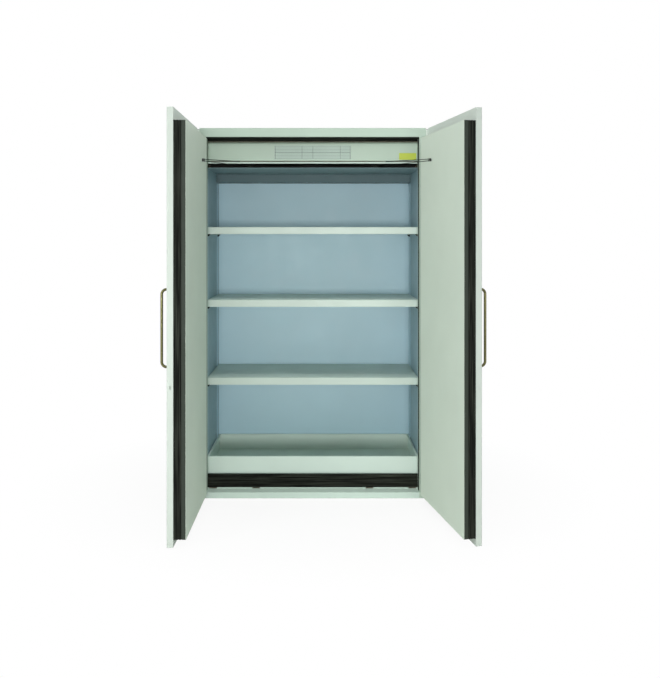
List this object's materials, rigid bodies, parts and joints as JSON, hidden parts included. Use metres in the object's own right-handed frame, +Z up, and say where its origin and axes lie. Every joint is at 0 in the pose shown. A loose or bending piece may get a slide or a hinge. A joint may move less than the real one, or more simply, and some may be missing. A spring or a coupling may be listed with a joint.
{
  "type": "fire-resistant reagent storage cabinet",
  "caption": "Tall free-standing fire-resistant storage cabinet with thick hinged double doors standing open, tray shelves, a spill sump, rope door closers and a top exhaust spigot.",
  "frame": {"origin": "centre of the carcass's footprint, on the floor under the flat base pan", "axes": "+Z up, +X to the right seen from the front, +Y from the doors to the back"},
  "size_m": [1.4556, 1.185, 1.988],
  "materials": {
    "outer_paint": "powder-coated pale grey-green",
    "inner_paint": "powder-coated pale blue-grey",
    "fire_board": "bare fire board",
    "seal_black": "matt black",
    "edge_grey": "grey-green profile",
    "black_paint": "matt black paint",
    "handle_olive": "olive-bronze, semi-gloss",
    "plain_steel": "zinc-plated",
    "washer_brass": "plain",
    "plate_film": "bare pale film",
    "tag_film": "bare yellow-green film"
  },
  "bodies": {
    "carcass": {"left_side_panel": "outer_paint", "right_side_panel": "outer_paint", "top_panel": "outer_paint", "back_panel": "outer_paint", "base_pan": "outer_paint", "front_lintel": "outer_paint", "front_sill": "outer_paint", "shelf_1": "outer_paint", "shelf_2": "outer_paint", "shelf_3": "outer_paint", "sump_tray": "outer_paint", "header_panel": "outer_paint", "header_lip": "outer_paint", "carcass_hinge_leaves": "outer_paint", "left_liner": "inner_paint", "right_liner": "inner_paint", "back_liner": "inner_paint", "ceiling_liner": "inner_paint", "floor_liner": "inner_paint", "shelf_uprights": "inner_paint", "exhaust_collector": "inner_paint", "side_cores": "fire_board", "back_core": "fire_board", "top_core": "fire_board", "bottom_core": "fire_board", "frame_seals": "seal_black", "closer_channel": "black_paint", "sheave_brackets": "black_paint", "shelf_clips": "plain_steel", "exhaust_duct": "plain_steel", "sheave_axles": "plain_steel", "spring_cartridges": "plain_steel", "inner_ropes": "plain_steel", "left_ropes": "plain_steel", "right_ropes": "plain_steel", "levelling_feet": "plain_steel", "hinge_pins": "plain_steel", "hinge_washers": "washer_brass", "label_plate": "plate_film", "inspection_tag": "tag_film"},
    "left_door": {"left_door_skin": "outer_paint", "left_door_core": "fire_board", "left_door_liner": "outer_paint", "left_edge_seal": "seal_black", "left_edge_trim": "edge_grey", "left_handle": "handle_olive", "left_rope_anchor": "black_paint"},
    "right_door": {"right_door_skin": "outer_paint", "right_door_core": "fire_board", "right_door_liner": "outer_paint", "right_edge_seal": "seal_black", "right_edge_trim": "edge_grey", "right_handle": "handle_olive", "right_rope_anchor": "black_paint", "lock_barrel": "plain_steel"},
    "left_sheave_wheel": {"left_sheave": "plain_steel"},
    "right_sheave_wheel": {"right_sheave": "plain_steel"},
    "damper": {"damper_disc": "plain_steel"},
    "lock_cylinder": {"lock_plug": "handle_olive"},
    "lock_slide": {"lock_bolt": "plain_steel"}
  },
  "joints": [
    {"name": "left_door_hinge", "type": "hinge", "parent": "carcass", "child": "left_door", "pos_m": [-0.604, -0.2925, 0.9765], "axis": [0, 0, -1], "range_deg": [-90, 20], "deforming": ["left_ropes"]},
    {"name": "right_door_hinge", "type": "hinge", "parent": "carcass", "child": "right_door", "pos_m": [0.604, -0.2925, 0.9765], "axis": [0, 0, 1], "range_deg": [-102, 8], "deforming": ["right_ropes"]},
    {"name": "left_sheave_turn", "type": "hinge", "parent": "carcass", "child": "left_sheave_wheel", "pos_m": [-0.34, -0.2065, 1.759], "axis": [0, 0, 1], "range_deg": [-1063, 237]},
    {"name": "right_sheave_turn", "type": "hinge", "parent": "carcass", "child": "right_sheave_wheel", "pos_m": [0.34, -0.2065, 1.759], "axis": [0, 0, -1], "range_deg": [-1205, 95]},
    {"name": "damper_turn", "type": "hinge", "parent": "carcass", "child": "damper", "pos_m": [0, 0.1745, 1.93], "axis": [1, 0, 0], "range_deg": [0, 90]},
    {"name": "lock_turn", "type": "hinge", "parent": "right_door", "child": "lock_cylinder", "pos_m": [0.75425, -0.83103, 0.73], "axis": [0.9781, 0.2079, 0], "range_deg": [0, 90]},
    {"name": "bolt_throw", "type": "slide", "parent": "right_door", "child": "lock_slide", "axis": [0.2079, -0.9781, 0], "range_m": [0, 0.01]}
  ],
  "couplings": [
    {"joint": "left_sheave_turn", "follows": "left_door_hinge", "ratio": 11.8},
    {"joint": "right_sheave_turn", "follows": "right_door_hinge", "ratio": 11.8},
    {"joint": "lock_turn", "follows": "bolt_throw", "rad_per_m": 157.07}
  ]
}
